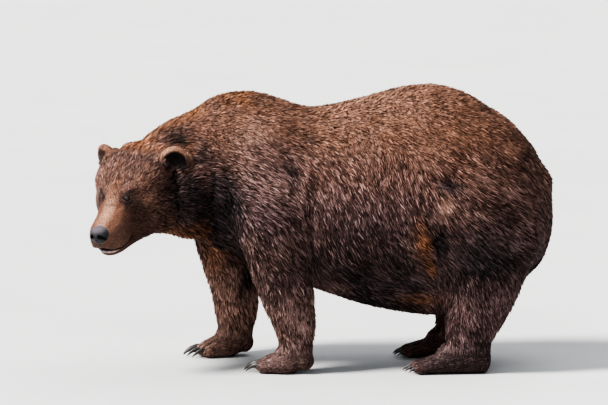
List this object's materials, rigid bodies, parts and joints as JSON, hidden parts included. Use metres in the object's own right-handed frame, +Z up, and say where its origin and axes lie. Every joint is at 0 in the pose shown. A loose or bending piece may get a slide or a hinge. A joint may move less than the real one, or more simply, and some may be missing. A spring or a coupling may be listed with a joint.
{
  "type": "grizzly bear",
  "caption": "Life-size standing grizzly bear, a still museum model: very fat, high hump and rump, head low and turned to its left, brown coat.",
  "frame": {"origin": "on the floor, under the middle of the bear's bounding box", "axes": "+X towards the bear's rump, so it faces -X; -Y its left side; +Z up"},
  "size_m": [2.098, 0.9084, 1.2898],
  "materials": {
    "coat_brown": "dense brown fur, damp and clumped",
    "coat_dark": "short dark chocolate fur",
    "coat_face": "short tan and brown fur",
    "nose_leather": "moist pebbled dark skin",
    "eye_gloss": "wet dark brown eye",
    "claw_horn": "worn dark horn"
  },
  "bodies": {
    "root": {"ear_left": "coat_face", "ear_right": "coat_face", "eye_left": "eye_gloss", "eye_right": "eye_gloss", "front_claw_left_1": "claw_horn", "front_claw_left_2": "claw_horn", "front_claw_left_3": "claw_horn", "front_claw_left_4": "claw_horn", "front_claw_left_5": "claw_horn", "front_claw_right_1": "claw_horn", "front_claw_right_2": "claw_horn", "front_claw_right_3": "claw_horn", "front_claw_right_4": "claw_horn", "front_claw_right_5": "claw_horn", "front_leg_left": "coat_dark", "front_leg_right": "coat_dark", "front_paw_left": "coat_dark", "front_paw_right": "coat_dark", "head": "coat_face", "hind_claw_left_1": "claw_horn", "hind_claw_left_2": "claw_horn", "hind_claw_left_3": "claw_horn", "hind_claw_left_4": "claw_horn", "hind_claw_left_5": "claw_horn", "hind_claw_right_1": "claw_horn", "hind_claw_right_2": "claw_horn", "hind_claw_right_3": "claw_horn", "hind_claw_right_4": "claw_horn", "hind_claw_right_5": "claw_horn", "hind_leg_left": "coat_dark", "hind_leg_right": "coat_dark", "hind_paw_left": "coat_dark", "hind_paw_right": "coat_dark", "lower_jaw": "coat_face", "neck": "coat_brown", "nose": "nose_leather", "tail": "coat_brown", "trunk": "coat_brown"}
  },
  "joints": []
}
